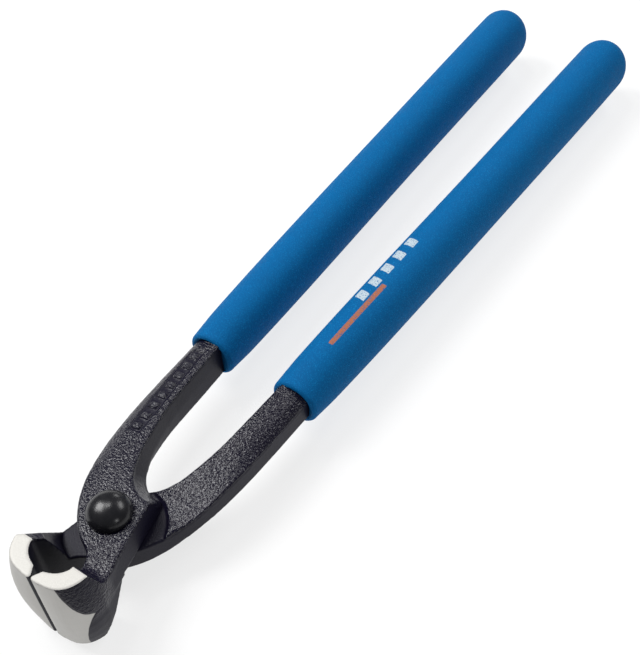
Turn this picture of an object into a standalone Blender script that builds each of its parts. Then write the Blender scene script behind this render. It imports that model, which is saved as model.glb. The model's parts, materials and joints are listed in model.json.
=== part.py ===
"""Tile nippers, 250 mm, with jaws closed: two identical forged arms crossing at one rivet, and two grip sleeves.

The tool lies flat with its jaws toward -Y and its handles toward +Y, over the middle of its own
length. Lengths below are in millimetres, measured from the rivet's axis and from the plane where
the two arms meet.
"""
import math

import bmesh
import bpy
from mathutils import Matrix, Vector

MM = 0.001

# Driving dimensions
OVERALL_LENGTH = 250.0
FRONT_Y = -23.74
TIP_Y = FRONT_Y + OVERALL_LENGTH
MIDDLE_Y = (FRONT_Y + TIP_Y) / 2
JAW_HALF_HEIGHT = 12.4
PIVOT_HALF_THICKNESS = 6.2
BAR_HALF_THICKNESS = 5.2
MEETING_GAP = 0.3
ARM_EDGE_ROUNDING = 0.7

# The halved joint at the rivet, whose wall is given as (radius, height)
LAP_WALL = (
    (12.0, MEETING_GAP / 2),
    (12.2, -2.0),
    (13.0, -5.0),
    (14.0, -8.5),
    (15.0, -11.5),
    (16.2, -14.0),
)
HOLE_RADIUS = 3.06
SHANK_RADIUS = 3.0
DOME_RADIUS = 5.3
DOME_HEIGHT = 4.2
DOME_UNDERCUT = 0.2
TAIL_RADIUS = 4.7
TAIL_HEIGHT = 1.4
TAIL_CHAMFER = 0.5
HEAD_CLEARANCE = 0.08

# The sleeve's centre line, from its mouth to the centre of its round end, for the handle on the +X
# side, and how far each sleeve's dipped edge runs past that mouth
MOUTH = Vector((13.5, 52.5))
LOWER_SLEEVE_REACH = 1.8
UPPER_SLEEVE_REACH = 0.5
MOUTH_HALF_WIDTH = 6.6
SHOULDER_HALF_WIDTH = 7.3
SHOULDER_ALONG = 0.13
END_HALF_WIDTH = 8.3
THICKNESS_RATIO = 1.1
END_CENTRE = Vector((18.0, TIP_Y - END_HALF_WIDTH))
CENTRE_LINE_BOW = 0.25
MOUTH_INSETS = ((0.0, 1.2), (0.0025, 0.35), (0.007, 0.0), (0.06, 0.0))
BAR_HALF_WIDTH = 3.75
BAR_OFFSET = 0.5
BAR_END = 0.97
BORE_START = -0.05
BORE_PAST_BAR = 0.003
SLEEVE_CLEARANCE = 0.3

# Outlines of the arm whose jaw is on the +X side, seen from above, from its jaw to its handle. The
# points of the edges face each other in pairs, with the crown of the section between them. The inner
# side stands further out at its middle than at its two edges, most of all in the crotch.
OUTER_EDGE = (
    (3.6, -11.6),
    (1.6, -9.6),
    (-1.6, -8.0),
    (-5.2, -5.2),
    (-8.0, -1.8),
    (-10.4, 2.0),
    (-12.8, 6.5),
    (-15.1, 13.0),
    (-16.6, 22.0),
    (-17.3, 33.0),
)
INNER_EDGE = (
    (10.5, -13.0),
    (9.4, -8.4),
    (8.3, -4.0),
    (7.0, 1.5),
    (5.8, 6.2),
    (2.2, 7.0),
    (-1.6, 9.4),
    (-4.4, 14.0),
    (-6.9, 21.6),
    (-9.1, 33.0),
)
INNER_MIDDLE = (
    (10.8, -13.0),
    (9.8, -8.4),
    (8.9, -4.0),
    (7.6, 1.5),
    (5.4, 10.0),
    (2.4, 10.6),
    (-0.6, 11.9),
    (-3.6, 15.4),
    (-6.6, 22.0),
    (-8.9, 33.0),
)
INNER_BAND_HALF_HEIGHT = 0.4
CROWN_STARTS_Y = -2.0
CROWN_ENDS_Y = 14.0
THINNING_STARTS_Y = 4.0
THINNING_ENDS_Y = 28.0

# The crowned section, as (part of the way from the outer edge to the inner one, part of the full height)
CROWN = ((0.0, 0.5), (0.12, 0.68), (0.3, 0.86), (0.55, 0.97), (0.8, 1.0), (1.0, 1.0))

# Half thickness of the arm on its lap side, where it thins toward the crossing: y, then the values
# at its outer edge and at its inner one
LAP_SIDE = (
    (8.0, 0.8, 0.7),
    (12.5, 1.5, 1.1),
    (18.0, 2.4, 2.3),
    (24.0, 2.6, 3.2),
    (33.0, 2.6, 4.6),
    (42.0, 2.6, 5.2),
)

# The jaw's hook, seen from above: its front at its two ends and at mid-height, then its rear and throat
HOOK_FRONT_AT_ENDS = ((0.6, -23.0), (2.6, -22.9), (5.9, -22.2), (8.2, -20.5), (9.5, -18.1), (10.1, -15.5))
HOOK_FRONT_AT_MIDDLE = ((0.6, -23.0), (3.0, -23.7), (7.1, -23.4), (9.9, -21.3), (11.2, -18.4), (11.4, -15.2))
HOOK_REAR = ((10.8, -13.2), (10.2, -10.9), (9.4, -8.0), (2.4, -8.0))
HOOK_THROAT = ((2.9, -10.6), (4.2, -13.2), (5.8, -15.8), (5.3, -17.6), (3.7, -19.2), (1.3, -20.2))
EDGE_LAND = ((MEETING_GAP / 2, -22.2), (MEETING_GAP / 2, -22.6))

# The jaw's side view in two halves, as (y, height from the plane where the arms meet): away from the
# lap, then beside it
SHOULDER = (
    (-30.0, JAW_HALF_HEIGHT),
    (-16.0, JAW_HALF_HEIGHT),
    (-15.5, 11.4),
    (-14.8, 9.4),
    (-14.1, 7.5),
    (-13.3, 6.5),
    (-12.0, 6.1),
    (-8.0, 5.9),
)
LAP_SHOULDER = (
    (-8.0, -8.6),
    (-11.0, -9.9),
    (-13.0, -10.5),
    (-14.8, -11.3),
    (-16.0, -JAW_HALF_HEIGHT),
    (-30.0, -JAW_HALF_HEIGHT),
)
# The flat that takes the outer rear corner off the jaw beside the lap: a point of it, and the way it faces
CORNER_FLAT_POINT = Vector((9.0, -16.5, -JAW_HALF_HEIGHT))
CORNER_FLAT_NORMAL = Vector((0.529, 0.677, -0.512))

ROUND_END_REACH = 0.985
JAW_LEVELS = 9
STATIONS = 10
ROUND_END_RINGS = 8
SLEEVE_SEGMENTS = 40
ROUND_SEGMENTS = 64
DOME_STEPS = 8


def clear_scene():
    for thing in list(bpy.data.objects):
        bpy.data.objects.remove(thing, do_unlink=True)


def material(name, colour, roughness, metallic):
    made = bpy.data.materials.new(name)
    made.use_nodes = True
    shader = made.node_tree.nodes["Principled BSDF"]
    shader.inputs["Base Color"].default_value = (*colour, 1.0)
    shader.inputs["Roughness"].default_value = roughness
    shader.inputs["Metallic"].default_value = metallic
    made.diffuse_color = (*colour, 1.0)
    return made


def collection(name, rendered=True):
    made = bpy.data.collections.new(name)
    bpy.context.scene.collection.children.link(made)
    made.hide_render = not rendered
    return made


def mesh_object(name, form, home, smooth=False):
    """Turns a bmesh in millimetres into an object whose origin is the rivet's axis."""
    bmesh.ops.recalc_face_normals(form, faces=form.faces)
    bmesh.ops.scale(form, vec=(MM, MM, MM), verts=form.verts)
    mesh = bpy.data.meshes.new(name)
    form.to_mesh(mesh)
    form.free()
    for face in mesh.polygons:
        face.use_smooth = smooth
    made = bpy.data.objects.new(name, mesh)
    home.objects.link(made)
    return made


def cutter_object(name, form, home):
    made = mesh_object(name, form, home)
    made.hide_render = True
    made.display_type = "WIRE"
    return made


def spline(points, steps):
    """A smooth curve through the points, with a number of steps to each span."""
    points = [Vector(point) for point in points]
    before = 2 * points[0] - points[1]
    after = 2 * points[-1] - points[-2]
    padded = [before, *points, after]
    curve = []
    for a, b, c, d in zip(padded, padded[1:], padded[2:], padded[3:]):
        for step in range(steps):
            t = step / steps
            bend = 2 * a - 5 * b + 4 * c - d
            twist = 3 * (b - c) + d - a
            curve.append(b + 0.5 * ((c - a) * t + bend * t**2 + twist * t**3))
    return [*curve, points[-1]]


def prism(outline, axes, low, high):
    """Extrudes a closed outline, whose two coordinates lie along the named axes, along the third one."""
    first, second = ("XYZ".index(axis) for axis in axes)
    third = 3 - first - second
    form = bmesh.new()
    ring = []
    for point in outline:
        corner = [0.0, 0.0, 0.0]
        corner[first], corner[second], corner[third] = point[0], point[1], low
        ring.append(form.verts.new(corner))
    face = form.faces.new(ring)
    grown = bmesh.ops.extrude_face_region(form, geom=[face])
    lift = Vector((0.0, 0.0, 0.0))
    lift[third] = high - low
    moved = [item for item in grown["geom"] if isinstance(item, bmesh.types.BMVert)]
    bmesh.ops.translate(form, vec=lift, verts=moved)
    return form


def loft(rings):
    """Skins rings that have equal numbers of points, and closes both ends."""
    form = bmesh.new()
    rows = [[form.verts.new(point) for point in ring] for ring in rings]
    for low, high in zip(rows, rows[1:]):
        for i in range(len(low)):
            j = (i + 1) % len(low)
            form.faces.new((low[i], low[j], high[j], high[i]))
    form.faces.new(rows[0])
    form.faces.new(rows[-1])
    return form


def centre_line(along):
    """A point of the handle's centre line and the unit direction there, for the handle on the +X side."""
    def at(t):
        bow = Vector((4 * CENTRE_LINE_BOW * t * (1 - t), 0.0))
        return MOUTH.lerp(END_CENTRE, t) + bow

    step = 0.01
    return at(along), (at(along + step) - at(along - step)).normalized()


def bar_side(side, start, end, half_width, stations):
    """Points along one side of the bar inside a sleeve: side +1 faces away from the other handle."""
    points = []
    for i in range(stations):
        centre, along = centre_line(start + (end - start) * i / (stations - 1))
        outward = Vector((along.y, -along.x))
        points.append(centre + outward * (BAR_OFFSET + side * half_width))
    return points


def smooth_step(value, low, high):
    t = min(max((value - low) / (high - low), 0.0), 1.0)
    return t * t * (3 - 2 * t)


def lap_side(y):
    """Half thicknesses of the arm's lap side at its outer edge and at its inner one."""
    if y <= LAP_SIDE[0][0]:
        return LAP_SIDE[0][1:]
    for (y0, outer0, inner0), (y1, outer1, inner1) in zip(LAP_SIDE, LAP_SIDE[1:]):
        if y <= y1:
            t = smooth_step(y, y0, y1) if y1 == LAP_SIDE[-1][0] else (y - y0) / (y1 - y0)
            return outer0 + (outer1 - outer0) * t, inner0 + (inner1 - inner0) * t
    return LAP_SIDE[-1][1:]


def forged_bar():
    """The arm with its handle on the -X side, without its hook: crowned sections from jaw to handle end."""
    bar_outer = [Vector((-p.x, p.y)) for p in bar_side(1, 0.0, BAR_END, BAR_HALF_WIDTH, 6)]
    bar_inner = [Vector((-p.x, p.y)) for p in bar_side(-1, 0.0, BAR_END, BAR_HALF_WIDTH, 6)]
    outer = [*spline([*OUTER_EDGE, bar_outer[0]], 3), *bar_outer[1:]]
    inner = [*spline([*INNER_EDGE, bar_inner[0]], 3), *bar_inner[1:]]
    middle = [*spline([*INNER_MIDDLE, bar_inner[0]], 3), *bar_inner[1:]]
    rings = []
    for out_point, in_point, mid_point in zip(outer, inner, middle):
        y = out_point.y
        crowned = smooth_step(y, CROWN_STARTS_Y, CROWN_ENDS_Y)
        thinned = smooth_step(y, THINNING_STARTS_Y, THINNING_ENDS_Y)
        half = PIVOT_HALF_THICKNESS + (BAR_HALF_THICKNESS - PIVOT_HALF_THICKNESS) * thinned
        outer_low, inner_low = lap_side(y)
        top = []
        bottom = []
        for across, part in CROWN:
            point = out_point.lerp(in_point, across)
            height = half * (1 - crowned * (1 - part))
            top.append((point.x, point.y, height))
            rise = (part - CROWN[0][1]) / (1 - CROWN[0][1])
            bottom.append((point.x, point.y, -(outer_low + (inner_low - outer_low) * rise)))
        band = [(mid_point.x, mid_point.y, sign * INNER_BAND_HALF_HEIGHT) for sign in (1, -1)]
        rings.append([*top, *band, *reversed(bottom)])
    return loft(rings)


def hook():
    """The jaw's hook: the same outline at both ends, bulging toward mid-height on its front."""
    at_ends = spline(HOOK_FRONT_AT_ENDS, 3)
    at_middle = spline(HOOK_FRONT_AT_MIDDLE, 3)
    rest = [Vector(point) for point in (*HOOK_REAR, *spline(HOOK_THROAT, 2), *EDGE_LAND)]
    rings = []
    for level in range(JAW_LEVELS):
        part = 2 * level / (JAW_LEVELS - 1) - 1
        bulge = 1 - part**2
        front = [a.lerp(b, bulge) for a, b in zip(at_ends, at_middle)]
        height = part * JAW_HALF_HEIGHT
        rings.append([(point.x, point.y, height) for point in (*front, *rest)])
    return loft(rings)


def shoulder_profile():
    form = prism([*SHOULDER, *LAP_SHOULDER], "YZ", -2.0, 16.0)
    cut = bmesh.ops.bisect_plane(
        form,
        geom=[*form.verts, *form.edges, *form.faces],
        plane_co=CORNER_FLAT_POINT,
        plane_no=CORNER_FLAT_NORMAL,
        clear_outer=True,
    )
    edges = [item for item in cut["geom_cut"] if isinstance(item, bmesh.types.BMEdge)]
    bmesh.ops.contextual_create(form, geom=edges)
    return form


def cylinder(radius, low, high):
    form = bmesh.new()
    bmesh.ops.create_cone(
        form,
        cap_ends=True,
        segments=ROUND_SEGMENTS,
        radius1=radius,
        radius2=radius,
        depth=high - low,
        matrix=Matrix.Translation((0.0, 0.0, (low + high) / 2)),
    )
    return form


def turned(profile):
    """Turns a profile of (radius, height), whose two ends lie on the axis, round the rivet's axis."""
    form = bmesh.new()
    line = [form.verts.new((radius, 0.0, height)) for radius, height in profile]
    for a, b in zip(line, line[1:]):
        form.edges.new((a, b))
    bmesh.ops.spin(
        form,
        geom=[*form.verts, *form.edges],
        axis=(0.0, 0.0, 1.0),
        cent=(0.0, 0.0, 0.0),
        steps=ROUND_SEGMENTS,
        angle=2 * math.pi,
    )
    bmesh.ops.remove_doubles(form, verts=form.verts, dist=0.0001)
    return form


def add_boolean(target, other, operation):
    step = target.modifiers.new(f"{operation.lower()} {other.name}", "BOOLEAN")
    step.operation = operation
    step.solver = "EXACT"
    step.object = other


def forged_arm(name, placement, home, helpers, paint):
    """One arm: the jaw on the +X side and the handle on the -X side, before it is placed."""
    arm = mesh_object(name, forged_bar(), home)
    block = cutter_object(f"{name} hook", hook(), helpers)
    profile = cutter_object(f"{name} shoulders", shoulder_profile(), helpers)
    recess = [(0.0, LAP_WALL[0][1]), *LAP_WALL, (0.0, LAP_WALL[-1][1])]
    lap = cutter_object(f"{name} lap", turned(recess), helpers)
    hole = cutter_object(f"{name} rivet hole", cylinder(HOLE_RADIUS, -30.0, 30.0), helpers)
    rounding = arm.modifiers.new("rounded edges", "BEVEL")
    rounding.width = ARM_EDGE_ROUNDING * MM
    rounding.segments = 2
    rounding.limit_method = "ANGLE"
    rounding.angle_limit = math.radians(60)
    add_boolean(block, profile, "INTERSECT")
    add_boolean(arm, block, "UNION")
    add_boolean(arm, lap, "DIFFERENCE")
    add_boolean(arm, hole, "DIFFERENCE")
    arm.data.materials.append(paint)
    for thing in (arm, block, profile, lap, hole):
        thing.matrix_world = placement
    return arm


def grip_sleeve(name, side, reach, placement, home, helpers, foam):
    """A sleeve with a round closed end and an open mouth. Side is -1 for the handle on the -X side.

    Reach is how far its dipped edge runs past the common mouth, toward the jaws.
    """
    start = -reach / (END_CENTRE - MOUTH).length
    rings = []
    for along, inset in MOUTH_INSETS:
        rings.append(sleeve_ring(start + along, side, inset, 0.0))
    for i in range(STATIONS + 1):
        along = SHOULDER_ALONG + (1 - SHOULDER_ALONG) * i / STATIONS
        rings.append(sleeve_ring(along, side, 0.0, 0.0))
    for i in range(1, ROUND_END_RINGS + 1):
        latitude = ROUND_END_REACH * math.pi / 2 * i / ROUND_END_RINGS
        rings.append(sleeve_ring(1.0, side, 0.0, latitude))
    sleeve = mesh_object(name, loft(rings), home, smooth=True)
    width = BAR_HALF_WIDTH + SLEEVE_CLEARANCE
    height = BAR_HALF_THICKNESS + SLEEVE_CLEARANCE
    outer = bar_side(1, BORE_START, BAR_END + BORE_PAST_BAR, width, 8)
    inner = bar_side(-1, BORE_START, BAR_END + BORE_PAST_BAR, width, 8)
    slot = [Vector((side * p.x, p.y)) for p in (*outer, *reversed(inner))]
    bore = cutter_object(f"{name} bore", prism(slot, "XY", -height, height), helpers)
    add_boolean(sleeve, bore, "DIFFERENCE")
    sleeve.data.materials.append(foam)
    for thing in (sleeve, bore):
        thing.matrix_world = placement
    return sleeve


def sleeve_ring(along, side, inset, latitude):
    """An oval section of the sleeve, drawn in by the inset, or at a latitude of its round end."""
    centre, ahead = centre_line(along)
    if along < SHOULDER_ALONG:
        part = math.sin(math.pi / 2 * along / SHOULDER_ALONG)
        half_width = MOUTH_HALF_WIDTH + (SHOULDER_HALF_WIDTH - MOUTH_HALF_WIDTH) * part
    else:
        part = (along - SHOULDER_ALONG) / (1 - SHOULDER_ALONG)
        half_width = SHOULDER_HALF_WIDTH + (END_HALF_WIDTH - SHOULDER_HALF_WIDTH) * part
    half_height = half_width * THICKNESS_RATIO
    centre = centre + ahead * half_width * math.sin(latitude)
    outward = Vector((ahead.y, -ahead.x))
    ring = []
    for i in range(SLEEVE_SEGMENTS):
        angle = 2 * math.pi * i / SLEEVE_SEGMENTS
        across = (half_width - inset) * math.cos(latitude) * math.cos(angle)
        height = (half_height - inset) * math.cos(latitude) * math.sin(angle)
        point = centre + outward * across
        ring.append((side * point.x, point.y, height))
    return ring


def rivet(name, placement, home, steel):
    """A domed head, a shank through both arms, and a flat tail set against the underside."""
    top = PIVOT_HALF_THICKNESS + HEAD_CLEARANCE
    ball = (DOME_RADIUS**2 + DOME_HEIGHT**2) / (2 * DOME_HEIGHT)
    widest = math.asin(DOME_RADIUS / ball)
    profile = [(0.0, top + DOME_HEIGHT)]
    for i in range(1, DOME_STEPS + 1):
        angle = widest * i / DOME_STEPS
        profile.append((ball * math.sin(angle), top + DOME_HEIGHT - ball * (1 - math.cos(angle))))
    profile += [
        (DOME_RADIUS - DOME_UNDERCUT, top),
        (SHANK_RADIUS, top),
        (SHANK_RADIUS, -top),
        (TAIL_RADIUS, -top),
        (TAIL_RADIUS, -top - TAIL_HEIGHT + TAIL_CHAMFER),
        (TAIL_RADIUS - TAIL_CHAMFER, -top - TAIL_HEIGHT),
        (0.0, -top - TAIL_HEIGHT),
    ]
    made = mesh_object(name, turned(profile), home, smooth=True)
    made.data.materials.append(steel)
    made.matrix_world = placement
    return made


def build():
    clear_scene()
    home = collection("tile_nippers")
    helpers = collection("cutters", rendered=False)
    paint = material("black forging paint", (0.013, 0.013, 0.017), 0.42, 0.1)
    foam = material("blue sandy coating", (0.008, 0.11, 0.36), 0.85, 0.0)
    steel = material("black rivet steel", (0.01, 0.01, 0.012), 0.25, 0.6)
    upright = Matrix.Translation((0.0, -MIDDLE_Y * MM, JAW_HALF_HEIGHT * MM))
    turned_over = upright @ Matrix.Rotation(math.pi, 4, "Y")
    forged_arm("lower_arm", turned_over, home, helpers, paint)
    forged_arm("upper_arm", upright, home, helpers, paint)
    rivet("pivot_rivet", upright, home, steel)
    grip_sleeve("lower_grip_sleeve", 1, LOWER_SLEEVE_REACH, upright, home, helpers, foam)
    grip_sleeve("upper_grip_sleeve", -1, UPPER_SLEEVE_REACH, upright, home, helpers, foam)


build()
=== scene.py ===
"""Looks of the tile nippers: two painted forgings with ground jaws, a domed rivet and two sandy grip sleeves.

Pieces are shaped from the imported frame's own solids. Lengths are in millimetres in the tool's own axes, from
the rivet's axis and from the plane where the two arms meet, unless a comment says otherwise.
"""
import json
import math

import bmesh
import bpy
import numpy as np
from mathutils import Matrix, Vector, noise
from mathutils.bvhtree import BVHTree


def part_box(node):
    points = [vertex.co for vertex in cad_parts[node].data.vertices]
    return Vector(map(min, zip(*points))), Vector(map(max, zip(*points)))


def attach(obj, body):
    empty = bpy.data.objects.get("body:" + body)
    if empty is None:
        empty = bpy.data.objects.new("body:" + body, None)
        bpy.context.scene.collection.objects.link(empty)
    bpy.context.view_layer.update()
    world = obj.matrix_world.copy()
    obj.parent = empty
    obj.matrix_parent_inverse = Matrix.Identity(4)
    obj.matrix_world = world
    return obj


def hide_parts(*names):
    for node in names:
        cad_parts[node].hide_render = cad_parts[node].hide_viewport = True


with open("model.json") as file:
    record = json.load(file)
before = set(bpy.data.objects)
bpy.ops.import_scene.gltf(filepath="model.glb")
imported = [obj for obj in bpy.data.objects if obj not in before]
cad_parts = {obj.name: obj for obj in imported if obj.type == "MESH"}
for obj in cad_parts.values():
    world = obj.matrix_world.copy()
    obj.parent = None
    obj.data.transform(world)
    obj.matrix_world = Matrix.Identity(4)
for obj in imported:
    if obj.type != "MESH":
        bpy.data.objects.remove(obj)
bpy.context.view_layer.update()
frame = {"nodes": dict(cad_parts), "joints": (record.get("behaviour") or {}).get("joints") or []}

MM = 0.001
PIVOT = Vector(frame["joints"][0]["pos_m"])
JAW_HALF_HEIGHT = (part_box("upper_arm")[1].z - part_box("upper_arm")[0].z) / 2 / MM

# The forgings' meshes
ARM_VOXEL = 0.3
SMOOTH_ROUNDS = 9
GRAIN_HEIGHT = 0.045
LEAST_TEXTURE = 0.08

# Points this near a ground face hardly move when the forging is smoothed
GROUND_MARGIN = 1.0
GROUND_FIRMNESS = 0.85

# Radii round the rivet: where the worn ridge beside the lap starts and ends, and the lap's edge
RIDGE_ROUNDS = 22
RIDGE_START = (10.6, 11.6)
RIDGE_END = (13.6, 16.0)
LAP_EDGE = (11.6, 12.4)

# Ground faces of a jaw: its two ends, and its front from the cutting edge to a slanting outer limit
END_SKIN = 0.13
LAND_START = 0.8
LAND_LIMIT_UP = 11.8
LAND_LIMIT_DOWN = 10.9
LAND_LIMIT_SLOPE_UP = 0.45
LAND_LIMIT_SLOPE_DOWN = 0.22
LAND_REAR = -21.9
LAND_REAR_SLOPE = 0.54

# The recessed panel on an arm, with plain raised studs
PANEL_START = Vector((-11.6, 20.5))
PANEL_END = Vector((-14.2, 48.3))
PANEL_HALF_WIDTH = 2.0
PANEL_DEPTH = 0.3
PANEL_CALM = 0.7
STUDS = 8
STUD_HEIGHT = 0.42
STUD_HALF_WIDTH = 1.25
STUD_SHARE = 0.27

# Grip sleeves. Each CAD sleeve is measured at stations, from near its mouth to where its end rounds off
STATION_STEP = 4.0
FIRST_STATION = 1.2
FIT_DEGREE = 4
SLEEVE_STEP = 0.5
SLEEVE_SEGMENTS = 128
RIM_RADIUS = 1.1
RIM_STEPS = 8
MOUTH_FLATTENING = 0.12
MOUTH_LENGTH = 10.0

# A sleeve's round end: its steps, the share of the quarter turn they cover, and its height to its width
END_STEPS = 24
END_REACH = 0.985
END_HEIGHT_TO_WIDTH = 1.1

# The skin's faint waves, sunk so that they stay inside the CAD solid
SLEEVE_WAVE = 0.02
SLEEVE_SINK = 0.03

# The bar inside a sleeve: its section stands off the sleeve's centre line, and is crowned outward
BAR_OFFSET = 0.5
BAR_HALF_WIDTH = 3.75
BAR_HALF_THICKNESS = 5.2
BAR_CROWN_ACROSS = (0.0, 0.12, 0.3, 0.55, 0.8, 1.0)
BAR_CROWN_HEIGHT = (0.5, 0.68, 0.86, 0.97, 1.0, 1.0)
BORE_SQUARENESS = 8
BORE_GAP = 0.05
MOUTH_GAP = 0.02
BAR_END_GAP = 0.3

# The print on one sleeve: a row of slanting squares and a straight line, at angles round the sleeve
PRINT_RADIUS = 8.0
SQUARES = 5
SQUARES_ANGLE = math.radians(111)
SQUARES_START = 84.5
SQUARES_PITCH = 5.8
SQUARES_SLANT = 0.35
SQUARE_HALF_LENGTH = 1.5
SQUARE_HALF_WIDTH = 2.0
LINE_ANGLE = math.radians(87)
LINE_MIDDLE = 78.0
LINE_HALF_LENGTH = 12.0
LINE_HALF_WIDTH = 0.7

# The rivet
ARM_TOP = 6.28
HEAD_STEPS = 28
HEAD_EDGE_SHARE = 0.12
HEAD_SKIN = 0.02
SHANK_RADIUS = 2.95
TAIL_RADIUS = 4.68


# ---------------------------------------------------------------- shader helpers

def new_material(name):
    made = bpy.data.materials.new(name)
    made.use_nodes = True
    return made, made.node_tree, made.node_tree.nodes["Principled BSDF"]


def add(tree, kind, inputs=None, **settings):
    made = tree.nodes.new(kind)
    for key, value in settings.items():
        setattr(made, key, value)
    for key, value in (inputs or {}).items():
        if isinstance(value, bpy.types.NodeSocket):
            tree.links.new(value, made.inputs[key])
        else:
            made.inputs[key].default_value = value
    return made


def feed(tree, shader, values):
    for name, value in values.items():
        tree.links.new(value, shader.inputs[name])


def object_place(tree):
    return add(tree, "ShaderNodeTexCoord").outputs["Object"]


def calculate(tree, operation, a, b):
    return add(tree, "ShaderNodeMath", {0: a, 1: b}, operation=operation).outputs[0]


def spread(tree, value, low, high, out_low=0.0, out_high=1.0):
    """Maps value from low..high to out_low..out_high, clamped."""
    inputs = {"Value": value, "From Min": low, "From Max": high, "To Min": out_low, "To Max": out_high}
    return add(tree, "ShaderNodeMapRange", inputs, clamp=True).outputs["Result"]


def blend_colour(tree, share, a, b):
    made = add(tree, "ShaderNodeMix", {"Factor": share}, data_type="RGBA")
    for key, value in (("A", a), ("B", b)):
        socket = [s for s in made.inputs if s.name == key and s.type == "RGBA"][0]
        if isinstance(value, bpy.types.NodeSocket):
            tree.links.new(value, socket)
        else:
            socket.default_value = (*value, 1.0)
    return [s for s in made.outputs if s.type == "RGBA"][0]


def blend_value(tree, share, a, b):
    return add(tree, "ShaderNodeMix", {0: share, 2: a, 3: b}, data_type="FLOAT").outputs[0]


def bumps(tree, height, strength, distance):
    inputs = {"Height": height, "Strength": strength, "Distance": distance * MM}
    return add(tree, "ShaderNodeBump", inputs).outputs["Normal"]


def grain(tree, where, size, detail, roughness):
    """Noise whose blobs are about size across."""
    inputs = {"Vector": where, "Scale": 1 / (size * MM), "Detail": detail, "Roughness": roughness}
    return add(tree, "ShaderNodeTexNoise", inputs).outputs["Fac"]


def scratches(tree, where, turn, width, length):
    """Fine lines, after turning the axes so that they run along X."""
    turned = add(tree, "ShaderNodeMapping", {"Vector": where, "Rotation": turn}).outputs[0]
    squeeze = (1 / (length * MM), 1 / (width * MM), 1 / (width * MM))
    long = add(tree, "ShaderNodeMapping", {"Vector": turned, "Scale": squeeze}).outputs[0]
    return add(tree, "ShaderNodeTexNoise", {"Vector": long, "Scale": 1.0, "Detail": 3.0}).outputs["Fac"]


def painted_value(tree, name):
    return add(tree, "ShaderNodeAttribute", attribute_name=name).outputs["Fac"]


# ---------------------------------------------------------------- materials

PAINT_DARK = (0.0040, 0.0034, 0.0110)
PAINT_LIGHT = (0.0068, 0.0058, 0.0160)
FRONT_STEEL_DARK = (0.42, 0.41, 0.39)
FRONT_STEEL_LIGHT = (0.54, 0.53, 0.51)
END_STEEL_DARK = (0.38, 0.37, 0.345)
END_STEEL_LIGHT = (0.66, 0.645, 0.61)
RIVET_DARK = (0.006, 0.006, 0.008)
RIVET_LIGHT = (0.016, 0.016, 0.018)
GRIP_DARK = (0.001, 0.086, 0.245)
GRIP_LIGHT = (0.001, 0.100, 0.280)
GRIP_SPECKLE = (0.004, 0.17, 0.42)
PALE_INK = (0.42, 0.50, 0.55)
WARM_INK = (0.36, 0.13, 0.07)


def forging_material():
    """Black textured paint, with bare ground steel where the jaw was finished."""
    made, tree, shader = new_material("forging paint and ground steel")
    where = object_place(tree)
    textured = painted_value(tree, "textured")
    end_face = spread(tree, painted_value(tree, "end_face"), -0.03, 0.03)
    front_face = spread(tree, painted_value(tree, "front_face"), -0.04, 0.04)
    bare = calculate(tree, "MAXIMUM", end_face, front_face)

    coarse = grain(tree, where, size=0.68, detail=1.0, roughness=0.5)
    fine = grain(tree, where, size=0.36, detail=1.0, roughness=0.5)
    patches = grain(tree, where, size=7.0, detail=3.0, roughness=0.6)
    lines = scratches(tree, where, turn=(0.0, -0.65, 0.5), width=0.12, length=4.0)

    coarse_height = calculate(tree, "MULTIPLY", coarse, 0.65)
    fine_height = calculate(tree, "MULTIPLY", fine, 0.35)
    wrinkles = calculate(tree, "ADD", coarse_height, fine_height)
    rough_height = calculate(tree, "MULTIPLY", wrinkles, textured)
    skin_height = calculate(tree, "MULTIPLY", fine, 0.06)
    paint_height = calculate(tree, "ADD", rough_height, skin_height)
    steel_height = calculate(tree, "MULTIPLY", lines, 0.02)
    height = blend_value(tree, bare, paint_height, steel_height)

    paint = blend_colour(tree, patches, PAINT_DARK, PAINT_LIGHT)
    front_steel = blend_colour(tree, lines, FRONT_STEEL_DARK, FRONT_STEEL_LIGHT)
    end_steel = blend_colour(tree, lines, END_STEEL_DARK, END_STEEL_LIGHT)
    steel = blend_colour(tree, end_face, front_steel, end_steel)

    paint_gloss = spread(tree, patches, 0.3, 0.7, 0.17, 0.24)
    paint_roughness = blend_value(tree, textured, 0.46, paint_gloss)
    steel_roughness = spread(tree, lines, 0.3, 0.7, 0.44, 0.58)
    feed(tree, shader, {
        "Base Color": blend_colour(tree, bare, paint, steel),
        "Metallic": calculate(tree, "MULTIPLY", bare, blend_value(tree, end_face, 0.6, 0.12)),
        "Roughness": blend_value(tree, bare, paint_roughness, steel_roughness),
        "Specular IOR Level": blend_value(tree, painted_value(tree, "glint"), 0.16, 0.35),
        "Normal": bumps(tree, height, strength=1.0, distance=0.4),
    })
    return made


def rivet_material():
    """Smooth black finish with a faint cloudiness."""
    made, tree, shader = new_material("rivet black")
    shader.inputs["Specular IOR Level"].default_value = 0.3
    where = object_place(tree)
    cloud = grain(tree, where, size=2.5, detail=4.0, roughness=0.6)
    fine = grain(tree, where, size=0.25, detail=3.0, roughness=0.6)
    feed(tree, shader, {
        "Base Color": blend_colour(tree, cloud, RIVET_DARK, RIVET_LIGHT),
        "Roughness": spread(tree, cloud, 0.3, 0.7, 0.18, 0.30),
        "Normal": bumps(tree, fine, strength=0.5, distance=0.02),
    })
    return made


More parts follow.
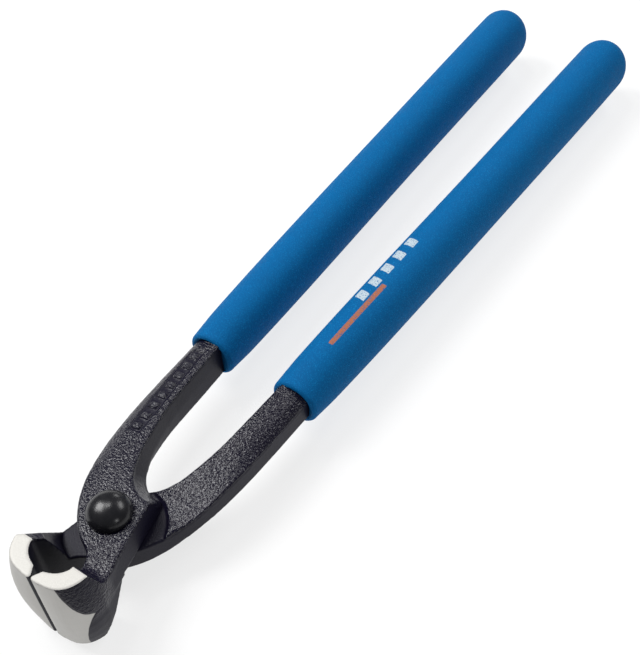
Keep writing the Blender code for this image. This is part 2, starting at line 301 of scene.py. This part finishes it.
def grip_material():
    """Blue coating with a fine sandy speckle, and a plain printed mark."""
    made, tree, shader = new_material("grip blue")
    shader.inputs["Specular IOR Level"].default_value = 0.06
    where = object_place(tree)
    sand = grain(tree, where, size=0.3, detail=2.0, roughness=0.6)
    patches = grain(tree, where, size=6.0, detail=3.0, roughness=0.6)
    deep = blend_colour(tree, patches, GRIP_DARK, GRIP_LIGHT)
    speckled = blend_colour(tree, spread(tree, sand, 0.52, 0.72), deep, GRIP_SPECKLE)
    gaps = grain(tree, where, size=0.4, detail=2.0, roughness=0.7)
    worn = spread(tree, gaps, 0.34, 0.46)
    pale = spread(tree, painted_value(tree, "pale_print"), -0.05, 0.05)
    warm = spread(tree, painted_value(tree, "warm_print"), -0.05, 0.05)
    inked = blend_colour(tree, calculate(tree, "MULTIPLY", pale, worn), speckled, PALE_INK)
    feed(tree, shader, {
        "Base Color": blend_colour(tree, calculate(tree, "MULTIPLY", warm, worn), inked, WARM_INK),
        "Roughness": spread(tree, patches, 0.3, 0.7, 0.62, 0.74),
        "Normal": bumps(tree, sand, strength=0.8, distance=0.2),
    })
    return made


# ---------------------------------------------------------------- mesh helpers

def read_vertices(mesh, name):
    flat = np.empty(len(mesh.vertices) * 3, np.float32)
    mesh.vertices.foreach_get(name, flat)
    return flat.reshape(-1, 3).astype(float)


def in_tool_axes(mesh, turn=1.0):
    """The mesh's points in millimetres from the pivot, in the axes that turn gives."""
    return (read_vertices(mesh, "co") - np.array(PIVOT)) / MM * turn


def set_from_tool_axes(mesh, p, turn=1.0):
    points = p * turn * MM + np.array(PIVOT)
    mesh.vertices.foreach_set("co", points.astype(np.float32).ravel())
    mesh.update()


def edges_of(mesh):
    flat = np.empty(len(mesh.edges) * 2, np.int32)
    mesh.edges.foreach_get("vertices", flat)
    return flat.reshape(-1, 2)


def store(mesh, name, values):
    made = mesh.attributes.new(name, "FLOAT", "POINT")
    made.data.foreach_set("value", values.astype(np.float32))


def mesh_from(form, name):
    """Turns a closed bmesh into a mesh with its faces pointing out."""
    bmesh.ops.recalc_face_normals(form, faces=form.faces)
    mesh = bpy.data.meshes.new(name)
    form.to_mesh(mesh)
    form.free()
    return mesh


def show(name, mesh, material, body, slot, *nodes):
    """Puts a finished mesh in the scene in place of its CAD nodes."""
    mesh.materials.clear()
    mesh.materials.append(material)
    mesh.polygons.foreach_set("use_smooth", np.ones(len(mesh.polygons), bool))
    made = bpy.data.objects.new(name, mesh)
    bpy.context.scene.collection.objects.link(made)
    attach(made, body)
    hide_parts(*nodes)


def even_mesh(node, voxel):
    """A copy of the CAD node's surface with small even faces."""
    form = bmesh.new()
    form.from_mesh(frame["nodes"][node].data)
    bmesh.ops.remove_doubles(form, verts=form.verts, dist=1e-7)
    name = node + " even"
    thing = bpy.data.objects.new(name, mesh_from(form, name))
    bpy.context.scene.collection.objects.link(thing)
    step = thing.modifiers.new("even faces", "REMESH")
    step.mode = "VOXEL"
    step.voxel_size = voxel * MM
    bpy.context.view_layer.update()
    graph = bpy.context.evaluated_depsgraph_get()
    made = bpy.data.meshes.new_from_object(thing.evaluated_get(graph))
    bpy.data.objects.remove(thing)
    return made


def average(points, edges, strength, factors):
    """Moves each point toward its neighbours' mean, once for each factor. Strength is per point, 0 to 1."""
    many = len(points)
    count = np.bincount(edges.ravel(), minlength=many)
    for factor in factors:
        mean = np.empty_like(points)
        for axis in range(3):
            total = np.bincount(edges[:, 0], points[edges[:, 1], axis], many)
            total += np.bincount(edges[:, 1], points[edges[:, 0], axis], many)
            mean[:, axis] = total / count
        points = points + factor * strength[:, None] * (mean - points)
    return points


def relax(points, edges, strength, rounds):
    """Evens out the surface. The second factor pushes it out again, so that it doesn't shrink."""
    return average(points, edges, strength, (0.55, -0.57) * rounds)


def soften(points, edges, strength, rounds):
    """Wears the surface down."""
    return average(points, edges, strength, (0.6,) * rounds)


def ramp(value, low, high):
    """Rises smoothly from 0 at low to 1 at high."""
    t = np.clip((value - low) / (high - low), 0.0, 1.0)
    return t * t * (3 - 2 * t)


def field(points, size, seed):
    """Smooth noise from -1 to 1 at each point, with blobs about size across."""
    shifted = points / size + seed
    return np.array([noise.noise(p) for p in shifted.tolist()])


# ---------------------------------------------------------------- forgings

def land_depth(p):
    """How far inside the ground front of the jaw each point lies."""
    x, y, z = p.T
    limit_up = LAND_LIMIT_UP - LAND_LIMIT_SLOPE_UP * z
    limit_down = LAND_LIMIT_DOWN + LAND_LIMIT_SLOPE_DOWN * z
    rear = LAND_REAR + LAND_REAR_SLOPE * x
    return np.minimum(np.minimum(np.minimum(limit_up, limit_down) - x, x - LAND_START), rear - y)


def freedom(p):
    """How freely each point may be smoothed: hardly at all on the ground faces, whose edges stay crisp."""
    ground = np.maximum(np.abs(p[:, 2]) - JAW_HALF_HEIGHT, land_depth(p)) + GROUND_MARGIN
    return 1.0 - GROUND_FIRMNESS * ramp(ground, 0.0, 0.6)


def worn_ridge(p):
    """1 on the ridge beside the lap, below the plane where the arms meet, and 0 elsewhere."""
    radius = np.hypot(p[:, 0], p[:, 1])
    ring = ramp(radius, *RIDGE_START) * (1.0 - ramp(radius, *RIDGE_END))
    return ring * ramp(-p[:, 2], -0.4, 0.2) * ramp(p[:, 1], 1.0, 4.0)


def flat_faces(p, normals):
    """1 on the faces that look up or down, apart from the machined lap inside the joint."""
    radius = np.hypot(p[:, 0], p[:, 1])
    off_the_lap = np.maximum(ramp(p[:, 2], 1.0, 2.0), ramp(radius, *LAP_EDGE))
    return ramp(np.abs(normals[:, 2]), 0.3, 0.5) * off_the_lap


def jaw_side(p, normals):
    """1 on the upper half of the jaw's outer side."""
    return ramp(-p[:, 1], 11.0, 13.0) * ramp(p[:, 2], -2.0, 2.0) * ramp(normals[:, 0], -0.2, 0.3)


def panel_relief(p, normals):
    """Height to add for the recessed panel and its studs, and where the panel's floor is."""
    along = PANEL_END - PANEL_START
    length = along.length
    along = along / length
    x, y = p[:, 0] - PANEL_START.x, p[:, 1] - PANEL_START.y
    s = x * along.x + y * along.y
    t = -x * along.y + y * along.x
    on_top = ramp(normals[:, 2], 0.3, 0.6)
    inside = np.minimum(np.minimum(s, length - s), PANEL_HALF_WIDTH - np.abs(t))
    recess = ramp(inside, -0.1, 0.2)
    pitch = length / STUDS
    phase = (s / pitch) % 1.0 - 0.5
    stud = np.minimum((STUD_SHARE - np.abs(phase)) * pitch, STUD_HALF_WIDTH - np.abs(t))
    stud = np.where((s > 0) & (s < length), stud, -1.0)
    relief = STUD_HEIGHT * ramp(stud, -0.1, 0.25) - PANEL_DEPTH * recess
    return relief * on_top, recess * (1.0 - ramp(stud, -0.3, 0.1)) * on_top


def forging(name, node, body, side, material):
    """The fine mesh of one arm. Side is -1 for the one that is the same forging turned over."""
    mesh = even_mesh(node, ARM_VOXEL)
    turn = np.array([side, 1.0, side])
    p = in_tool_axes(mesh, turn)
    edges = edges_of(mesh)
    p = relax(p, edges, freedom(p), SMOOTH_ROUNDS)
    p = soften(p, edges, worn_ridge(p), RIDGE_ROUNDS)
    set_from_tool_axes(mesh, p, turn)
    normals = read_vertices(mesh, "normal") * turn

    end_face = np.abs(p[:, 2]) - (JAW_HALF_HEIGHT - END_SKIN)
    front_face = land_depth(p)
    bare = np.maximum(ramp(end_face, -0.1, 0.1), ramp(front_face, -0.3, 0.1))
    flat = flat_faces(p, normals)
    relief, panel_floor = panel_relief(p, normals)
    textured = np.maximum(flat, jaw_side(p, normals)) * (1.0 - bare) * (1.0 - PANEL_CALM * panel_floor)

    wrinkle = 0.5 * field(p, size=0.8, seed=3.0) + 0.5 * field(p, size=0.5, seed=17.0)
    p = p + normals * (relief + GRAIN_HEIGHT * wrinkle * textured)[:, None]
    set_from_tool_axes(mesh, p, turn)
    store(mesh, "textured", LEAST_TEXTURE + (1 - LEAST_TEXTURE) * textured)
    store(mesh, "glint", np.minimum(textured, flat))
    store(mesh, "end_face", end_face)
    store(mesh, "front_face", front_face)
    show(name, mesh, material, body, "forging_paint", node)


# ---------------------------------------------------------------- grip sleeves, in metres in the frame's axes

RING = [2 * math.pi * i / SLEEVE_SEGMENTS for i in range(SLEEVE_SEGMENTS)]


def sleeve_sections(node):
    """Rows of centre x, y, half width and half height in metres, measured along the sleeve's CAD solid."""
    low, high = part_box(node)
    tree = BVHTree.FromObject(frame["nodes"][node], bpy.context.evaluated_depsgraph_get())
    outside = 0.05

    def side_x(y, direction):
        """Where a line across the sleeve at y meets its side, coming from outside."""
        middle = Vector(((low.x + high.x) / 2, y, PIVOT.z))
        return tree.ray_cast(middle - direction * outside, direction)[0].x

    y_first = low.y + FIRST_STATION * MM
    y_last = high.y - (high.z - low.z) / 2 / END_HEIGHT_TO_WIDTH
    count = int((y_last - low.y) / MM / STATION_STEP)
    stations = []
    for i in range(count + 1):
        y = y_first + (y_last - y_first) * i / count
        left, right = side_x(y, Vector((1, 0, 0))), side_x(y, Vector((-1, 0, 0)))
        centre = (left + right) / 2
        top = tree.ray_cast(Vector((centre, y, high.z + outside)), Vector((0, 0, -1)))[0]
        stations.append((centre, y, (right - left) / 2, top.z - PIVOT.z))
    return np.array(stations)


def outer_row(at, mouth_y, y, inset=0.0, latitude=0.0):
    """A ring of the sleeve's skin, drawn in by inset, or at a latitude of the round end that starts at y."""
    centre, half_width, half_height = at(y)
    half_height *= 1.0 - MOUTH_FLATTENING * (1.0 - ramp((y - mouth_y) / MM, 0.0, MOUTH_LENGTH))
    near = 0.002
    tilt = (at(y + near)[0] - at(y - near)[0]) / (2 * near)
    lift = math.sin(latitude) * half_width
    pull = math.cos(latitude)
    row = []
    for a in RING:
        across = (half_width - inset * MM) * pull * math.cos(a)
        up = (half_height - inset * MM) * pull * math.sin(a)
        row.append((centre + across + tilt * lift, y + lift - tilt * across, PIVOT.z + up))
    return row


def bore_row(at, outward, y, gap):
    """A ring of the bore, a little larger than the crowned bar in it."""
    centre = at(y)[0] + outward * BAR_OFFSET * MM
    half_width, half_height = (BAR_HALF_WIDTH + gap) * MM, (BAR_HALF_THICKNESS + gap) * MM
    row = []
    for a in RING:
        c, s = math.cos(a), math.sin(a)
        corner = (abs(c) ** BORE_SQUARENESS + abs(s) ** BORE_SQUARENESS) ** (-1 / BORE_SQUARENESS)
        across = (1.0 - outward * corner * c) / 2
        crown = np.interp(across, BAR_CROWN_ACROSS, BAR_CROWN_HEIGHT)
        row.append((centre + half_width * corner * c, y, PIVOT.z + half_height * crown * corner * s))
    return row


def sleeve(name, node, arm, body, material, printed):
    """A fine sleeve: a slim bore round the arm's bar, a rolled rim at its mouth, and a round end."""
    stations = sleeve_sections(node)
    fits = [np.polyfit(stations[:, 1], stations[:, k], FIT_DEGREE) for k in (0, 2, 3)]
    mouth_y, end_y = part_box(node)[0].y, stations[-1, 1]
    bar_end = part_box(arm)[1].y + BAR_END_GAP * MM
    outward = 1.0 if stations[0, 0] > PIVOT.x else -1.0

    def at(y):
        y = min(max(y, stations[0, 1]), end_y)
        return [float(np.polyval(line, y)) for line in fits]

    rows = [
        bore_row(at, outward, bar_end, BORE_GAP),
        bore_row(at, outward, (bar_end + mouth_y) / 2, BORE_GAP),
        bore_row(at, outward, mouth_y + 4.0 * MM, BORE_GAP),
        bore_row(at, outward, mouth_y + 0.5 * MM, MOUTH_GAP),
    ]
    bore_points = len(rows) * SLEEVE_SEGMENTS
    for i in range(RIM_STEPS, -1, -1):
        a = math.pi / 2 * i / RIM_STEPS
        rim_y = mouth_y + RIM_RADIUS * MM * (1 - math.sin(a))
        rows.append(outer_row(at, mouth_y, rim_y, inset=RIM_RADIUS * (1 - math.cos(a))))
    straight = end_y - mouth_y - RIM_RADIUS * MM
    count = int((end_y - mouth_y) / MM / SLEEVE_STEP)
    for i in range(1, count + 1):
        rows.append(outer_row(at, mouth_y, mouth_y + RIM_RADIUS * MM + straight * i / count))
    for i in range(1, END_STEPS + 1):
        rows.append(outer_row(at, mouth_y, end_y, latitude=END_REACH * math.pi / 2 * i / END_STEPS))

    form = bmesh.new()
    rings = [[form.verts.new(point) for point in row] for row in rows]
    for below, above in zip(rings, rings[1:]):
        for i in range(SLEEVE_SEGMENTS):
            j = (i + 1) % SLEEVE_SEGMENTS
            form.faces.new((below[i], below[j], above[j], above[i]))
    form.faces.new(rings[0])
    form.faces.new(rings[-1])
    mesh = mesh_from(form, name)

    p = in_tool_axes(mesh)
    outside = np.ones(len(p))
    outside[:bore_points] = 0.0
    wave = (SLEEVE_WAVE * field(p, size=0.8, seed=5.0) - SLEEVE_SINK) * outside
    p = p + read_vertices(mesh, "normal") * wave[:, None]
    set_from_tool_axes(mesh, p)
    pale, warm = printed_mark(p, fits[0]) if printed else (np.full(len(p), -1.0), np.full(len(p), -1.0))
    store(mesh, "pale_print", pale)
    store(mesh, "warm_print", warm)
    show(name, mesh, material, body, "grip_coating", node)


def printed_mark(p, centre_fit):
    """Depth inside five pale squares, and inside one warm line, on the side of the sleeve that faces up."""
    x, y, z = p.T
    centre = (np.polyval(centre_fit, y * MM + PIVOT.y) - PIVOT.x) / MM
    angle = np.arctan2(z, x - centre)
    around = (angle - SQUARES_ANGLE) * PRINT_RADIUS
    pale = np.full(len(p), -1.0)
    for i in range(SQUARES):
        along = y - (SQUARES_START + SQUARES_PITCH * i) - SQUARES_SLANT * around
        square = np.minimum(SQUARE_HALF_LENGTH - np.abs(along), SQUARE_HALF_WIDTH - np.abs(around))
        pale = np.maximum(pale, square)
    beside = (angle - LINE_ANGLE) * PRINT_RADIUS
    warm = np.minimum(LINE_HALF_LENGTH - np.abs(y - LINE_MIDDLE), LINE_HALF_WIDTH - np.abs(beside))
    return pale, warm


# ---------------------------------------------------------------- rivet

def rivet(name, node, body, material):
    """A turned rivet: domed head, shank, and a low flat tail."""
    low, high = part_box(node)
    centre = (low + high) / 2
    head_radius = (high.x - low.x) / 2 - HEAD_SKIN * MM
    arm_top = PIVOT.z + ARM_TOP * MM
    arm_bottom = PIVOT.z - ARM_TOP * MM
    height = high.z - arm_top
    profile = [(0.0, high.z)]
    for i in range(1, HEAD_STEPS):
        a = math.pi / 2 * i / HEAD_STEPS
        rise = HEAD_EDGE_SHARE + (1 - HEAD_EDGE_SHARE) * math.cos(a) ** 1.05
        profile.append((head_radius * math.sin(a) ** 0.96, arm_top + rise * height))
    profile += [
        (head_radius, arm_top + 0.1 * height),
        (head_radius, arm_top + 0.04 * height),
        (head_radius - 0.15 * MM, arm_top),
        (SHANK_RADIUS * MM, arm_top),
        (SHANK_RADIUS * MM, arm_bottom),
        ((TAIL_RADIUS - 0.13) * MM, arm_bottom),
        (TAIL_RADIUS * MM, arm_bottom - 0.1 * MM),
        (TAIL_RADIUS * MM, low.z + 0.5 * MM),
        ((TAIL_RADIUS - 0.18) * MM, low.z + 0.2 * MM),
        ((TAIL_RADIUS - 0.48) * MM, low.z + 0.02 * MM),
        (0.0, low.z),
    ]
    form = bmesh.new()
    line = [form.verts.new((centre.x + r, centre.y, z)) for r, z in profile]
    for a, b in zip(line, line[1:]):
        form.edges.new((a, b))
    outline = [*form.verts, *form.edges]
    bmesh.ops.spin(form, geom=outline, axis=(0, 0, 1), cent=centre, steps=96, angle=2 * math.pi)
    bmesh.ops.remove_doubles(form, verts=form.verts, dist=1e-6)
    show(name, mesh_from(form, name), material, body, "rivet_steel", node)


# ---------------------------------------------------------------- the object

paint = forging_material()
blue = grip_material()
black = rivet_material()
forging("lower_forging", "lower_arm", "lower_half", -1, paint)
forging("upper_forging", "upper_arm", "upper_half", 1, paint)
rivet("domed_rivet", "pivot_rivet", "lower_half", black)
sleeve("lower_sleeve", "lower_grip_sleeve", "lower_arm", "lower_half", blue, True)
sleeve("upper_sleeve", "upper_grip_sleeve", "upper_arm", "upper_half", blue, False)


# ---------------------------------------------------------------- floor, light and camera, in metres

LIGHTS = (
    # name, direction from its target, distance, width and height, power, the y of its target
    ("key", (-0.60, -0.10, 0.80), 0.8, (0.35, 0.35), 6.6, -0.05),
    ("side glint", (0.86, -0.20, 0.48), 0.9, (0.16, 0.16), 0.7, -0.09),
    ("top glow", (-0.30, 0.22, 0.92), 0.9, (0.18, 0.18), 1.4, -0.08),
    ("rear glow", (0.22, 0.70, 0.68), 0.9, (0.42, 0.26), 2.8, -0.08),
    ("rear edge", (-0.42, 0.84, 0.34), 0.9, (0.15, 0.15), 0.5, -0.10),
)
CAMERA_PLACE = Vector((0.11715, -0.17201, 0.21635))
CAMERA_RIGHT = Vector((0.82283486, 0.56612164, -0.04948822))
CAMERA_UP = Vector((-0.39445721, 0.63166763, 0.66738259))
CAMERA_BACK = Vector((0.40907983, -0.52962467, 0.74306891))


def add_floor():
    bpy.ops.mesh.primitive_plane_add(size=60.0, location=(0.0, 0.0, 0.0))
    floor = bpy.context.object
    floor.name = "floor"
    material, _, shader = new_material("pale floor")
    shader.inputs["Base Color"].default_value = (0.22, 0.22, 0.22, 1.0)
    shader.inputs["Roughness"].default_value = 0.9
    shader.inputs["Emission Color"].default_value = (1.0, 1.0, 1.0, 1.0)
    shader.inputs["Emission Strength"].default_value = 0.75
    floor.data.materials.append(material)


def area_light(name, direction, distance, size, power, target_y):
    data = bpy.data.lights.new(name, "AREA")
    data.shape = "RECTANGLE"
    data.size, data.size_y = size
    data.energy = power
    lamp = bpy.data.objects.new(name, data)
    bpy.context.scene.collection.objects.link(lamp)
    away = Vector(direction).normalized()
    lamp.location = Vector((0.0, target_y, 0.0)) + away * distance
    lamp.rotation_mode = "QUATERNION"
    lamp.rotation_quaternion = away.to_track_quat("Z", "Y")


def add_camera():
    data = bpy.data.cameras.new("camera")
    data.lens = 57.71
    data.sensor_width = 36.0
    data.clip_start = 0.01
    camera = bpy.data.objects.new("camera", data)
    bpy.context.scene.collection.objects.link(camera)
    turn = Matrix((CAMERA_RIGHT, CAMERA_UP, CAMERA_BACK)).transposed().to_4x4()
    camera.matrix_world = Matrix.Translation(CAMERA_PLACE) @ turn
    bpy.context.scene.camera = camera


def add_surroundings():
    world = bpy.data.worlds.new("studio")
    bpy.context.scene.world = world
    world.use_nodes = True
    background = world.node_tree.nodes["Background"]
    background.inputs["Color"].default_value = (0.95, 0.97, 1.0, 1.0)
    background.inputs["Strength"].default_value = 0.16
    bpy.context.scene.view_settings.view_transform = "Standard"


add_floor()
for light in LIGHTS:
    area_light(*light)
add_camera()
add_surroundings()
